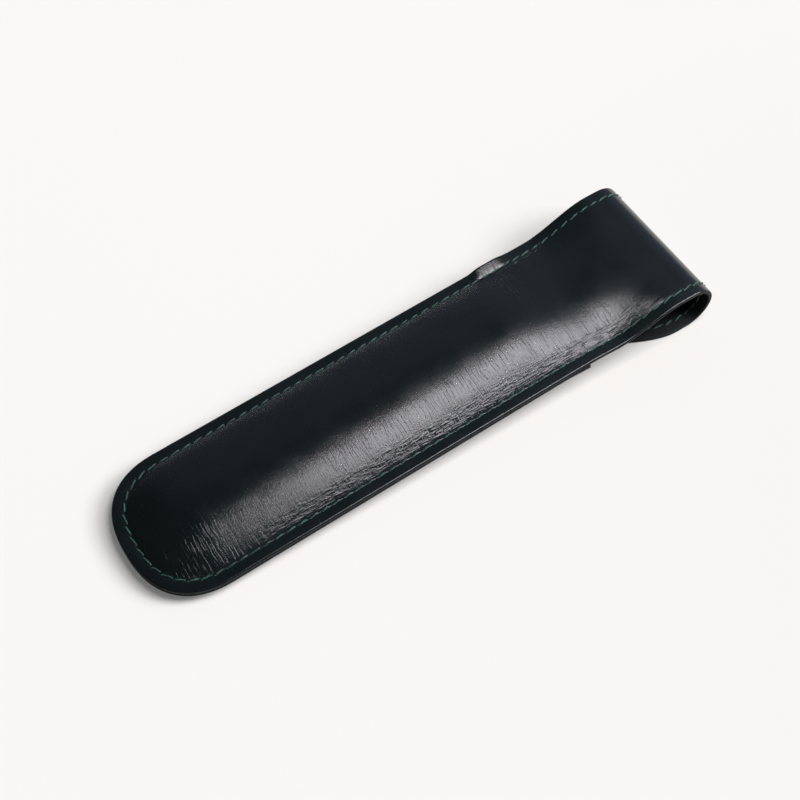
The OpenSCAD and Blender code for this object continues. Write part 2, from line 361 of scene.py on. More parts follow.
def edge_line(half_width, tip_x, round_len, end_x, power):
    """One side's edge, evenly spaced from the middle of the rounded end to the open end."""
    turn = np.linspace(0, math.pi / 2, LINE_SAMPLES)
    round_x = tip_x + round_len * (1 - np.cos(turn) ** (2 / power))
    round_y = float(half_width(np.array(tip_x + round_len))) * np.sin(turn) ** (2 / power)
    side_x = np.linspace(tip_x + round_len, end_x, LINE_SAMPLES)[1:]
    x = np.concatenate([round_x, side_x])
    y = np.concatenate([round_y, half_width(side_x)])
    run = np.concatenate([[0], np.cumsum(np.hypot(np.diff(x), np.diff(y)))])
    even = np.linspace(0, run[-1], int(run[-1] / COLUMN_STEP) + 1)
    return np.interp(even, run, x), np.interp(even, run, y)


def inward(x, y):
    """The direction from each point of an edge line straight into the panel."""
    dx, dy = np.gradient(x), np.gradient(y)
    dx[0], dy[0] = 0, 1
    length = np.hypot(dx, dy)
    return dy / length, -dx / length


def plan_of(edge_x, edge_y, spine_from, depth, share):
    """Places in from a panel's edge, or a share of the way on to its middle line."""
    nx, ny = inward(edge_x, edge_y)
    x, y = edge_x + nx * depth, np.maximum(edge_y + ny * depth, 0)
    spine_x = np.maximum(edge_x, spine_from)
    return lerp(x, spine_x, share), lerp(y, 0, share)


def both_sides(x, y):
    """A line on the far side, joined to its mirror image on the near side."""
    return np.concatenate([x[::-1], x[1:]]), np.concatenate([-y[::-1], y[1:]])


def rounding(radius):
    """Points round a cut edge: how far each is in from the edge and below the face."""
    turns = [k / ROUND_STEPS * math.pi / 2 for k in range(ROUND_STEPS + 1)]
    return [(radius * (1 - math.sin(t)), radius * (1 - math.cos(t))) for t in turns]


def shell_mesh(name, edge, spine_from, upper, lower, rounds, uv_of):
    """A closed sheet with one rounded end, in rows that follow its edge.

    upper and lower give the height of its faces, and rounds the radii of their edges.
    """
    edge_x, edge_y = edge
    flat = [(depth, 0.0) for depth in PANEL_ROWS]
    flat += [(PANEL_ROWS[-1], (k + 1) / MIDDLE_ROWS) for k in range(MIDDLE_ROWS)]
    top, bottom = ([(depth, share, 0.0, face) for depth, share in reversed(flat)]
                   + [(depth, 0.0, drop, face) for depth, drop in rounding(radius)]
                   for face, radius in zip((upper, lower), rounds))
    grid, uvs, margin = [], [], []
    for depth, share, drop, face in top + bottom[::-1]:
        x, y = both_sides(*plan_of(edge_x, edge_y, spine_from, depth, share))
        across = np.concatenate([edge_y[::-1], edge_y[1:]])
        px, py, pz = face(x, y, depth + share * np.maximum(across - depth, 0))
        grid.append(np.stack([px, py, pz - drop if face is upper else pz + drop], 1))
        uvs.append(uv_of(px, py))
        margin.append(np.full(x.shape, depth))
    return grid_object(name, np.array(grid), np.array(uvs), np.array(margin))


def grid_object(name, grid, uvs, margin, ring=False, normals=None):
    """A closed mesh from rows of points: the rows run out over the top and back underneath.

    In a ring the last row meets the first. normals are shared by pieces that meet without a step.
    """
    rows, columns = grid.shape[:2]
    index = np.arange(rows * columns).reshape(rows, columns)
    looped = np.concatenate([index, index[:1]]) if ring else index
    a, b, c, d = looped[:-1, :-1], looped[:-1, 1:], looped[1:, 1:], looped[1:, :-1]
    faces = np.stack([a, d, c, b], -1).reshape(-1, 4).tolist()
    for column in (0, columns - 1):
        line = index[:, column]
        for k in range(rows // 2 - 1):
            faces.append([line[k], line[k + 1], line[rows - 2 - k], line[rows - 1 - k]])
    mesh = bpy.data.meshes.new(name)
    mesh.from_pydata(grid.reshape(-1, 3).tolist(), [], faces)
    layer = mesh.attributes.new("margin", "FLOAT", "POINT")
    layer.data.foreach_set("value", margin.reshape(-1).astype(np.float32))
    hide = mesh.uv_layers.new(name="Hide")
    corner = np.zeros(len(mesh.loops), dtype=np.int32)
    mesh.loops.foreach_get("vertex_index", corner)
    hide.data.foreach_set("uv", uvs.reshape(-1, 2)[corner].astype(np.float32).ravel())
    piece = finish_mesh(name, mesh, merge=not ring)
    if normals is not None:
        mesh.normals_split_custom_set_from_vertices(normals.reshape(-1, 3).tolist())
    return piece


SHARP_TURN = math.radians(70)
MERGED_WITHIN = 1e-7
NO_LENGTH = 1e-8


def finish_mesh(name, mesh, merge=True):
    """Merges doubled points, turns the faces outwards and smooths all but the cut ends."""
    work = bmesh.new()
    work.from_mesh(mesh)
    if merge:
        bmesh.ops.remove_doubles(work, verts=work.verts, dist=MERGED_WITHIN)
        bmesh.ops.dissolve_degenerate(work, edges=work.edges, dist=NO_LENGTH)
    bmesh.ops.recalc_face_normals(work, faces=work.faces)
    for face in work.faces:
        face.smooth = True
    for edge in work.edges:
        if len(edge.link_faces) == 2 and edge.calc_face_angle() > SHARP_TURN:
            edge.smooth = False
    work.to_mesh(mesh)
    work.free()
    return add_object(name, mesh)


def sewn_height(reach, to_hole):
    """How far the stitches have drawn in the leather's face, and raised its margin."""
    groove = np.exp(-((reach - STITCH_MARGIN) / GROOVE_WIDTH) ** 2)
    height = -GROOVE_DEPTH * groove - HOLE_DEPTH * np.exp(-(to_hole / HOLE_WIDTH) ** 2)
    return height + MARGIN_BULGE * np.sin(math.pi * np.clip(reach / STITCH_MARGIN, 0, 1))


def nearest_hole(x, y, holes):
    """The distance from each place to the nearest stitch hole, in plan."""
    best = np.full(x.shape, 1.0)
    for hole_x, hole_y in holes:
        best = np.minimum(best, np.hypot(x - hole_x, y - hole_y))
    return best


def band(x, reach, foot, roll, inner, outer):
    """1 within a band beside the stitches, and 0 past its ends and sides."""
    return rise(x, *foot) * fall(x, *roll) * rise(reach, *inner) * fall(reach, *outer)


def worked_height(x, y, reach, holes):
    """How far stitching and bending have moved the leather's face."""
    height = sewn_height(reach, nearest_hole(x, y, holes))
    ridges = noise_at(x / RIDGE_RUN + reach / RIDGE_LEAN, reach / RIDGE_SPACING, RIDGE_SEED, 2)
    ridges = 1 - 2 * np.abs(ridges)
    height += np.where(y < 0, NEAR_WRINKLE, 0) * band(x, reach, *RIDGES) * ridges
    puckers = noise_at(x / GATHER_RUN, reach / GATHER_SPACING, GATHER_SEED, 2)
    height += FAR_WRINKLE * band(x, reach, *GATHERS) * puckers * np.where(y > 0, 1, NEAR_GATHERED)
    free = rise(reach, STITCH_MARGIN, SWAY_FROM_SEAM) * fall(x, ROLL_X, SWAY_FROM_ROLL)
    return height + SWAY * free * noise_at(x / SWAY_LENGTH, y / SWAY_WIDTH, SWAY_SEED, 2)


def curl(x, y, reach):
    """Share of the far margin's curl at a place: 1 at its edge, half way along it."""
    along = rise(x, CURL_FROM, CURL_RISE) * fall(x, CURL_TO, CURL_FALL)
    return np.where(y > 0, along, 0) * np.clip(1 - reach / STITCH_MARGIN, 0, 1)


def back_face(depth):
    """The back panel's face at a depth below its outer one."""
    def place(x, y, reach):
        share = curl(x, y, reach)
        worked = worked_height(x, y, reach, BACK_HOLES) if depth == 0 else 0
        return x, y + CURL_OUT * share, back_height(x, y) - depth + worked + CURL_UP * share
    return place


def flat_cut(x, y):
    """Where a place lies on the flat cut of the leather, before it was sewn and rolled."""
    return np.stack([x, y], -1)


PORE_SMOOTHNESS = 0.5
TONE_SCALE = 90
CREASE_BEND_SCALE = 210
CREASE_APART = 7.3
CREASES_KEPT = (0.36, 0.62)


def times(tree, first, *others):
    """The product of several values."""
    for other in others:
        first = calc(tree, "MULTIPLY", first, other)
    return first


def noise_node(tree, place, scale, detail=2, distortion=0.0):
    inputs = {"Vector": place, "Scale": scale, "Detail": detail, "Distortion": distortion}
    return new_node(tree, "ShaderNodeTexNoise", inputs).outputs["Fac"]


def new_group(kind, name, inputs, outputs):
    """An empty node group with its named sockets, and what it is given."""
    group = bpy.data.node_groups.new(name, kind)
    for way, sockets in (("INPUT", inputs), ("OUTPUT", outputs)):
        for label, sort in sockets.items():
            group.interface.new_socket(label, in_out=way, socket_type="NodeSocket" + sort)
    return group, new_node(group, "NodeGroupInput").outputs


def hide_grain_group():
    """A hide's pores and fine grain: a height in metres and a tone from 0 to 1."""
    group, given = new_group("ShaderNodeTree", "Hide grain",
                             {"Cut": "Vector", "Grain size": "Float", "Grain depth": "Float"},
                             {"Height": "Float", "Tone": "Float"})
    scale = calc(group, "DIVIDE", 1, given["Grain size"])
    pores = new_node(group, "ShaderNodeTexVoronoi",
                     {"Vector": given["Cut"], "Scale": scale, "Smoothness": PORE_SMOOTHNESS},
                     feature="SMOOTH_F1").outputs["Distance"]
    grain = calc(group, "ADD", pores, noise_node(group, given["Cut"], scale, detail=3))
    tone = noise_node(group, given["Cut"], TONE_SCALE, detail=4)
    new_node(group, "NodeGroupOutput",
             {"Height": times(group, grain, given["Grain depth"]), "Tone": tone})
    return group


def read_attribute(tree, name):
    return new_node(tree, "ShaderNodeAttribute", attribute_name=name).outputs["Fac"]


def crease_group():
    """Fine creases across the case, from bending: a mask, 1 in a crease."""
    sizes = dict.fromkeys(("Spacing", "Run", "Wander", "Width"), "Float")
    group, given = new_group("ShaderNodeTree", "Bend creases", {"Cut": "Vector", **sizes},
                             {"Crease": "Float"})
    split = new_node(group, "ShaderNodeSeparateXYZ", {0: given["Cut"]}).outputs
    bend = noise_node(group, given["Cut"], CREASE_BEND_SCALE, detail=4)
    swing = times(group, calc(group, "SUBTRACT", bend, 0.5), given["Wander"])
    count = calc(group, "ADD", calc(group, "DIVIDE", split["X"], given["Spacing"]), swing)
    line = ramp(group, calc(group, "PINGPONG", count, 0.5), 0.0, given["Width"], 1.0, 0.0)
    # Each crease has its own strip of the noise, which breaks it into runs
    strip = times(group, calc(group, "ROUND", count), CREASE_APART)
    along = calc(group, "DIVIDE", split["Y"], given["Run"])
    spot = new_node(group, "ShaderNodeCombineXYZ", {"X": strip, "Y": along}).outputs[0]
    kept = ramp(group, noise_node(group, spot, 1, 1), *CREASES_KEPT)
    new_node(group, "NodeGroupOutput", {"Crease": times(group, line, kept)})
    return group


TONE_RANGE = (0.3, 0.7)
LEATHER_COLOURS = ((0.0026, 0.0050, 0.0050, 1), (0.0044, 0.0076, 0.0078, 1))
LEATHER_ROUGHNESS = (0.17, 0.23)
LEATHER_IOR = 1.5
LEATHER_GRAIN = {"Grain size": 0.00030, "Grain depth": 0.000020}
# The forms of the creases, and their depths
CREASES = [({"Spacing": 0.0011, "Run": 0.006, "Wander": 1.8, "Width": 0.10}, 0.000027),
           ({"Spacing": 0.00062, "Run": 0.003, "Wander": 2.4, "Width": 0.14}, 0.000016)]
# The wrinkles beside the stitches, which run along them
WRINKLE_LEN = 0.0045
WRINKLE_WIDTH = 0.00075
WRINKLE_DEPTH = 0.000180
WRINKLE_BEND = 0.15
# The broken line of puckers beside the far stitches
PUCKER_AT = STITCH_MARGIN + 0.0015
PUCKER_WIDTH = 0.00016
PUCKER_DEPTH = 0.000150
PUCKER_SWAY = 0.0006
PUCKER_RUN = 0.0011
PUCKERS_KEPT = (0.34, 0.50)
PUCKERED_FOOT = (FOOT_X + 0.030, 0.030)
PUCKERED_NECK = (MOUTH_X + 0.014, 0.012)
# Where the hide is creased: each pair is a place and the length of the fade there
CREASED_INSIDE = (STITCH_MARGIN, 0.0012)
CREASED_HALF = (0.003, 0.006)
CREASED_NECK = (MOUTH_X + 0.031, 0.018)
FAR_CREASED, MARGIN_CREASED, NECK_CREASED = 0.20, 0.12, 0.25
PAINT_SPECULAR = 0.12
PAINT_MOTTLE = 0.0006
PAINT_ROUGHNESS = (0.35, 0.55)


def place_group(tree, group, inputs):
    """The outputs of a node group placed in a material."""
    return new_node(tree, "ShaderNodeGroup", inputs, node_tree=group).outputs


def hide_cut(tree):
    """Where a point lies on the flat cut of the leather."""
    return new_node(tree, "ShaderNodeUVMap", uv_map="Hide").outputs[0]


def raise_bumps(tree, shader, height):
    bump = new_node(tree, "ShaderNodeBump", {"Distance": 1.0, "Height": height})
    feed(tree, shader.inputs["Normal"], bump.outputs[0])


def tone_surface(tree, shader, tone, colours, roughness):
    """A surface's colour and roughness, each between two values, by its tone."""
    feed(tree, shader.inputs["Base Color"], mix_colours(tree, tone, *colours))
    feed(tree, shader.inputs["Roughness"], ramp(tree, tone, *TONE_RANGE, *roughness))


def outer_leather_material():
    """Glazed calf, with grain, creases, and wrinkles beside the stitches."""
    material, tree, shader = new_material("glazed_calf", {"IOR": LEATHER_IOR})
    cut = hide_cut(tree)
    grain = place_group(tree, HIDE_GRAIN, {"Cut": cut, **LEATHER_GRAIN})
    height = grain["Height"]
    creased = read_attribute(tree, "creased")
    for sizes, depth in CREASES:
        crease = place_group(tree, BEND_CREASES, {"Cut": cut, **sizes})["Crease"]
        height = calc(tree, "ADD", height, times(tree, crease, creased, -depth))
    pull = (1 / WRINKLE_LEN, 1 / WRINKLE_WIDTH, 0)
    pulled = new_node(tree, "ShaderNodeVectorMath", {0: cut, 1: pull},
                      operation="MULTIPLY").outputs[0]
    folds = calc(tree, "SUBTRACT", noise_node(tree, pulled, 1, 1, WRINKLE_BEND), 0.5)
    folds = times(tree, calc(tree, "ABSOLUTE", folds), WRINKLE_DEPTH * 2)
    height = calc(tree, "ADD", height, times(tree, folds, read_attribute(tree, "wrinkled")))
    runs = noise_node(tree, cut, 1 / PUCKER_RUN, 1)
    sway = ramp(tree, runs, 0.0, 1.0, -PUCKER_SWAY, PUCKER_SWAY)
    off = calc(tree, "SUBTRACT", read_attribute(tree, "margin"), PUCKER_AT)
    off = calc(tree, "ABSOLUTE", calc(tree, "ADD", off, sway))
    pucker = times(tree, ramp(tree, off, 0.0, PUCKER_WIDTH, -PUCKER_DEPTH, 0.0),
                   ramp(tree, runs, *PUCKERS_KEPT), read_attribute(tree, "puckered"))
    raise_bumps(tree, shader, calc(tree, "ADD", height, pucker))
    tone_surface(tree, shader, grain["Tone"], LEATHER_COLOURS, LEATHER_ROUGHNESS)
    return material


HIDE_GRAIN = hide_grain_group()
BEND_CREASES = crease_group()
OUTER_LEATHER = outer_leather_material()


def edge_paint_material():
    """The dark, dull paint on the leather's cut edges."""
    material, tree, shader = new_material("edge_paint", {"Specular IOR Level": PAINT_SPECULAR})
    mottle = noise_node(tree, hide_cut(tree), 1 / PAINT_MOTTLE, detail=3)
    tone_surface(tree, shader, mottle, LEATHER_COLOURS, PAINT_ROUGHNESS)
    return material


EDGE_PAINT = edge_paint_material()
# Share of an edge's rounding that is painted, from the cut in
PAINTED_SHARE = 0.45
PAINTED_WIDTH = EDGE_ROUND * PAINTED_SHARE


def paint_edges(piece, width):
    """Paints the faces that lie closer to the cut edge than a width."""
    mesh = piece.data
    mesh.materials.append(EDGE_PAINT)
    margin = np.zeros(len(mesh.vertices))
    mesh.attributes["margin"].data.foreach_get("value", margin)
    for face in mesh.polygons:
        if max(margin[list(face.vertices)]) < width:
            face.material_index = len(mesh.materials) - 1


def dress(piece, material, painted, node, body):
    """Gives a piece its leather and its painted edges, hides the part that it stands for, and puts
    it on its body.
    """
    piece.data.materials.append(material)
    paint_edges(piece, painted)
    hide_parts(node)
    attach(piece, body)


def mark_hide(piece, label, strength):
    """How creased or wrinkled the hide is, by each point's place and distance in."""
    mesh = piece.data
    places = np.zeros(len(mesh.vertices) * 3)
    mesh.vertices.foreach_get("co", places)
    margin = np.zeros(len(mesh.vertices))
    mesh.attributes["margin"].data.foreach_get("value", margin)
    layer = mesh.attributes.new(label, "FLOAT", "POINT")
    layer.data.foreach_set("value", strength(places.reshape(-1, 3), margin).astype(np.float32))


def evenly(strength):
    """The same strength at every point."""
    return lambda places, margin: np.full(len(margin), strength)


def back_creased(places, margin):
    """Most on the near half, and less on the far half, the margins and the neck."""
    x, y = places[:, 0], places[:, 1]
    inside = rise(margin, *CREASED_INSIDE) * lerp(FAR_CREASED, 1, fall(y, *CREASED_HALF))
    inside = np.maximum(inside, curl(x, y, 0))
    return lerp(MARGIN_CREASED, 1, inside) * lerp(NECK_CREASED, 1, fall(x, *CREASED_NECK))


def back_wrinkled(places, margin):
    """Beside the near stitches only."""
    return np.where(places[:, 1] < 0, band(places[:, 0], margin, *WRINKLES), 0)


def back_puckered(places, margin):
    """Beside the far stitches only."""
    x = places[:, 0]
    return np.where(places[:, 1] > 0, rise(x, *PUCKERED_FOOT) * fall(x, *PUCKERED_NECK), 0)


def stitch_holes(edge, past):
    """The holes of a stitch line round a panel's edge, from the near open end to the far one.

    The line runs a little past the open ends, to the first hole of the piece that follows.
    """
    edge_x, edge_y = edge
    nx, ny = inward(edge_x, edge_y)
    x, y = edge_x + nx * STITCH_MARGIN, edge_y + ny * STITCH_MARGIN
    x, y = both_sides(np.append(x, x[-1] + past), np.append(y, y[-1]))
    run = np.concatenate([[0], np.cumsum(np.hypot(np.diff(x), np.diff(y)))])
    even = np.linspace(0, run[-1], round(run[-1] / STITCH_PITCH) + 1)
    return np.stack([np.interp(even, run, x), np.interp(even, run, y)], 1)


BACK_EDGE = edge_line(back_half, FOOT_X - FOOT_OVER, FOOT_LEN + FOOT_OVER, ROLL_X, FOOT_POWER)
LEAF_TURN = math.pi / 8
BACK_HOLES = stitch_holes(BACK_EDGE, ROLL_R * LEAF_TURN / 2)
back = shell_mesh("back_panel", BACK_EDGE, FOOT_X + FOOT_LEN, back_face(0), back_face(LEATHER_T),
                  (EDGE_ROUND, BACK_EDGE_ROUND), flat_cut)
mark_hide(back, "creased", back_creased)
mark_hide(back, "wrinkled", back_wrinkled)
mark_hide(back, "puckered", back_puckered)
dress(back, OUTER_LEATHER, PAINTED_WIDTH, "back_leather", "pouch")

# Back panel, lining: thin matt leather, glued under the whole of the outer leather and cut
# with it. It is seen inside the roll.
LINING_INSET = 0.00008
LINING_ROUND = 0.0001
LINING_COLOURS = ((0.0028, 0.0042, 0.0042, 1), (0.0052, 0.0072, 0.0072, 1))
LINING_ROUGHNESS = (0.42, 0.60)
LINING_SPECULAR = 0.2
LINING_GRAIN = {"Grain size": 0.00045, "Grain depth": 0.00003}


def lining_material():
    """Thin leather with a soft, dull face."""
    material, tree, shader = new_material("lining_leather",
                                          {"Specular IOR Level": LINING_SPECULAR})
    grain = place_group(tree, HIDE_GRAIN, {"Cut": hide_cut(tree), **LINING_GRAIN})
    raise_bumps(tree, shader, grain["Height"])
    tone_surface(tree, shader, grain["Tone"], LINING_COLOURS, LINING_ROUGHNESS)
    return material


LINING = lining_material()


def inset_edge(edge, by):
    """An edge line moved in by a little, as a lining's is."""
    edge_x, edge_y = edge
    nx, ny = inward(edge_x, edge_y)
    return edge_x + nx * by, np.maximum(edge_y + ny * by, 0)


def add_lining(name, edge, spine_from, faces, cut, node, body):
    """Lays a lining within the edge of its leather, between two faces."""
    piece = shell_mesh(name, inset_edge(edge, LINING_INSET), spine_from, *faces,
                       (LINING_ROUND, LINING_ROUND), cut)
    dress(piece, LINING, LINING_ROUND, node, body)


add_lining("back_lining_sheet", BACK_EDGE, FOOT_X + FOOT_LEN,
           (back_face(LEATHER_T), back_face(WALL_T)), flat_cut, "back_lining", "pouch")

# Front panel, outer leather: it ends at the mouth, which dips for a thumb, and it is sewn to
# the back all round its edge. The case lies on it, so its swell is pressed flat at the foot's end.
MOUTH_DIP = 0.005
DIP_POWER = 4.44
FLARE = 0.00035
FLARE_LEN = 0.010
CORNER_BACK = 0.0017
CORNER_ROUND = 0.0018
CORNER_MORE = 0.4
CORNER_POWER = 4 * DIP_POWER
LIFT_OFF = 0.062
TONGUE_BED = WALL_T + 0.0005
BELLY_SHARE = 0.15
TIP_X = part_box("tongue_leather")[0].x


def front_half(x):
    return HALF_CASE + FLARE * rise(x, MOUTH_X - FLARE_LEN, FLARE_LEN)


def front_floor(x):
    """The front is flat on the table at first, and then clear of the tongue."""
    lifts = FOOT_X + LIFT_OFF
    return TONGUE_BED * rise(x, lifts, TIP_X - lifts)


def front_height(x, y):
    rim, floor = seam_height(x) - WALL_T, front_floor(x)
    return np.maximum(floor, rim - (1 + BELLY_SHARE) * (rim - floor) * dome(x, y))


def front_face(height):
    """The front panel's face at a height above its outer one."""
    def place(x, y, reach):
        along = np.maximum(0, x - FOOT_X) / (MOUTH_X - FOOT_X)
        across = np.clip(y / front_half(x), -1, 1)
        corner = rise(np.abs(across), 1 - CORNER_ROUND / HALF_CASE, CORNER_ROUND / HALF_CASE)
        dipped = x - MOUTH_DIP * along ** DIP_POWER * (1 - across ** 2)
        dipped = dipped - CORNER_BACK * (1 + CORNER_MORE * corner) * along ** CORNER_POWER
        worked = worked_height(x, y, reach, FRONT_HOLES) if height == 0 else 0
        face = np.maximum(front_height(dipped, y) - worked, 0) + height
        return dipped, y, face + CURL_UP * curl(x, y, reach)
    return place


FRONT_EDGE = edge_line(front_half, FOOT_X - FOOT_OVER, FOOT_LEN + FOOT_OVER, MOUTH_X, FOOT_POWER)
FRONT_HOLES = BACK_HOLES[BACK_HOLES[:, 0] < MOUTH_X]
front = shell_mesh("front_panel", FRONT_EDGE, FOOT_X + FOOT_LEN, front_face(LEATHER_T),
                   front_face(0), (BACK_EDGE_ROUND, EDGE_ROUND), flat_cut)
mark_hide(front, "creased", back_creased)
dress(front, OUTER_LEATHER, PAINTED_WIDTH, "front_leather", "pouch")

# Front panel, lining: thin matt leather, glued inside the front leather and sewn in with it.
# It is seen at the mouth.
add_lining("front_lining_sheet", FRONT_EDGE, FOOT_X + FOOT_LEN,
           (front_face(WALL_T), front_face(LEATHER_T)), flat_cut, "front_lining", "pouch")

# Keeper band: a strap of the same leather across the front, caught in both side seams and a
# little slack between them, that the tongue tucks under.
KEEPER_T = 0.0008
KEEPER_SLACK = 0.0003
KEEPER_ROUND = 0.00025
KEEPER_ROWS = 10
KEEPER_COLUMNS = 90
KEEPER_END_INSET = 0.0007
KEEPER_CREASED = 0.15


def keeper_mesh():
    """A closed strap: a ring of rows that runs from one side seam to the other."""
    low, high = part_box("keeper_band")
    across = [lerp(low.x + KEEPER_ROUND, high.x - KEEPER_ROUND, k / KEEPER_ROWS)
              for k in range(KEEPER_ROWS + 1)]
    turns = rounding(KEEPER_ROUND)[1:]
    rows = [(x, KEEPER_T) for x in across]
    rows += [(high.x - inset, KEEPER_T - drop) for inset, drop in turns]
    rows += [(x, 0.0) for x in reversed(across)]
    rows += [(low.x + inset, KEEPER_T - drop) for inset, drop in reversed(turns)]
    y = np.linspace(-1, 1, KEEPER_COLUMNS) * (HALF_CASE - KEEPER_END_INSET)
    grid, uvs, margin = [], [], []
    for x, depth in rows:
        x = np.full(y.shape, x)
        z = front_height(x, y) - KEEPER_SLACK * dome(x, y) - depth
        grid.append(np.stack([x, y, z], 1))
        uvs.append(np.stack([x, y], 1))
        margin.append(np.minimum(x - low.x, high.x - x))
    return grid_object("keeper_strap", np.array(grid), np.array(uvs), np.array(margin), ring=True)


keeper = keeper_mesh()
mark_hide(keeper, "creased", evenly(KEEPER_CREASED))
dress(keeper, OUTER_LEATHER, KEEPER_ROUND * PAINTED_SHARE, "keeper_band", "pouch")

# The roll: the same leather and lining, bent round through a half turn. It is made as eight
# strips side by side, one over each hinge line.
HINGES = 8
STRIP_COLUMNS = 10
ROLL_ROWS = 44
ROLL_CREASED = 0.16


def roll_sections(half, top_radius, bottom_radius, rounds):
    """Points round a strip's section: how far across, and the radius there."""
    sewn = [half - reach for reach in EDGE_ROWS if reach > rounds[0]]
    flat = sewn + list(np.linspace(sewn[-1], 0, ROLL_ROWS // 2)[1:])
    faces = []
    for radius, edge_round, way in ((top_radius, rounds[0], -1), (bottom_radius, rounds[1], 1)):
        side = [(half - inset, radius + way * drop) for inset, drop in rounding(edge_round)]
        side = side[::-1] + [(y, radius) for y in flat]
        faces.append(side + [(-y, r) for y, r in reversed(side[:-1])])
    return faces[0], faces[1][::-1]


def roll_grid(half, top_radius, bottom_radius, rounds, sewn):
    """The roll's points, as rows round its section and columns round its half turn."""
    turn = np.linspace(0, math.pi, HINGES * STRIP_COLUMNS + 1)
    hole = np.abs((turn / LEAF_TURN) % 1 - 0.5) * LEAF_TURN * ROLL_R
    top, bottom = roll_sections(half, top_radius, bottom_radius, rounds)
    grid, uvs, margin = [], [], []
    for (y, radius), is_top in [(p, True) for p in top] + [(p, False) for p in bottom]:
        reach = np.full(turn.shape, half - abs(y))
        r = np.full(turn.shape, radius)
        if is_top and sewn:
            r = r + sewn_height(reach, np.hypot(reach - STITCH_MARGIN, hole))
        z = np.maximum(ROLL_R + r * np.cos(turn), 0)
        grid.append(np.stack([ROLL_X + r * np.sin(turn), np.full(turn.shape, y), z], 1))
        uvs.append(np.stack([ROLL_X + ROLL_R * turn, np.full(turn.shape, y)], 1))
        margin.append(reach)
    return np.array(grid), np.array(uvs), np.array(margin)


def grid_normals(grid):
    """Outward normals of a ring of rows, level with the flat leather at both ends."""
    wrapped = np.concatenate([grid[-1:], grid, grid[:1]])
    across = wrapped[2:] - wrapped[:-2]
    along = np.gradient(grid, axis=1)
    for column, way in ((0, 1), (-1, -1)):
        along[:, column] = (way, 0, 0)
    normal = np.cross(along, across)
    normal /= np.linalg.norm(normal, axis=2, keepdims=True)
    top = grid.shape[0] // 4, grid.shape[1] // 2
    facing = normal[top] @ (grid[top] - np.array([ROLL_X, 0, ROLL_R]))
    return normal if facing > 0 else -normal


def add_roll(stem, grid, uvs, margin, material, node_stem, painted):
    normals = grid_normals(grid)
    for j in range(HINGES):
        cut = slice(j * STRIP_COLUMNS, (j + 1) * STRIP_COLUMNS + 1)
        strip = grid_object(f"{stem}_{j + 1}", grid[:, cut], uvs[:, cut], margin[:, cut],
                            ring=True, normals=normals[:, cut])
        if material == OUTER_LEATHER:
            mark_hide(strip, "creased", evenly(ROLL_CREASED))
        strip.data.materials.append(material)
        paint_edges(strip, painted)
        if j < HINGES - 1:
            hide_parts(f"{node_stem}_{j + 1}")
        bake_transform(strip)


add_roll("roll_strip", *roll_grid(HALF_FLAP, ROLL_R, ROLL_R - LEATHER_T,
                                  (EDGE_ROUND, BACK_EDGE_ROUND), True),
         OUTER_LEATHER, "roll_leather", PAINTED_WIDTH)
add_roll("roll_lining_strip",
         *roll_grid(HALF_FLAP - LINING_INSET, ROLL_R - LEATHER_T, ROLL_R - WALL_T,
                    (LINING_ROUND, LINING_ROUND), False),
         LINING, "roll_lining", LINING_ROUND)

# The tongue: the end of the back's leather and lining, cut narrower, with a round tip, and
# sewn along its edge. It lies under the case.
TONGUE_W = 0.020
TONGUE_END = 0.019
TAPER_INSET = 0.003
TIP_LEN = 0.010
# The stitches are pressed into the tongue, which lies on them, and end just short of its face
PRESSED_GROOVE = 0.00015
PRESSED_SEAT = 0.00032
TONGUE_CREASED = 0.3


def tongue_half(x):
    taper = (ROLL_X - TAPER_INSET - x) / (ROLL_X - TIP_X - TAPER_INSET - TONGUE_END)
    return lerp(HALF_FLAP, TONGUE_W / 2, smooth(taper))


def tongue_face(height):
    """The tongue's face at a height above its outer one, which lies on the table."""
    def place(x, y, reach):
        face = np.full(x.shape, height)
        if height == 0:
            groove = PRESSED_GROOVE * np.exp(-((reach - STITCH_MARGIN) / GROOVE_WIDTH) ** 2)
            face = face + groove - sewn_height(reach, nearest_hole(x, y, TONGUE_HOLES))
        return x, y, np.maximum(face, 0)
    return place


def tongue_cut(x, y):
    """The tongue's place on the flat cut of the leather, past the roll."""
    return np.stack([2 * ROLL_X + math.pi * ROLL_R - x, y], -1)


TONGUE_EDGE = edge_line(tongue_half, TIP_X, TIP_LEN, ROLL_X, 2)
TONGUE_HOLES = stitch_holes(TONGUE_EDGE, ROLL_R * LEAF_TURN / 2)
tongue = shell_mesh("tongue_panel", TONGUE_EDGE, TIP_X + TIP_LEN, tongue_face(LEATHER_T),
                    tongue_face(0), (BACK_EDGE_ROUND, EDGE_ROUND), tongue_cut)
mark_hide(tongue, "creased", evenly(TONGUE_CREASED))
dress(tongue, OUTER_LEATHER, PAINTED_WIDTH, "tongue_leather", "tongue")
add_lining("tongue_lining_sheet", TONGUE_EDGE, TIP_X + TIP_LEN,
           (tongue_face(WALL_T), tongue_face(LEATHER_T)), tongue_cut, "tongue_lining", "tongue")

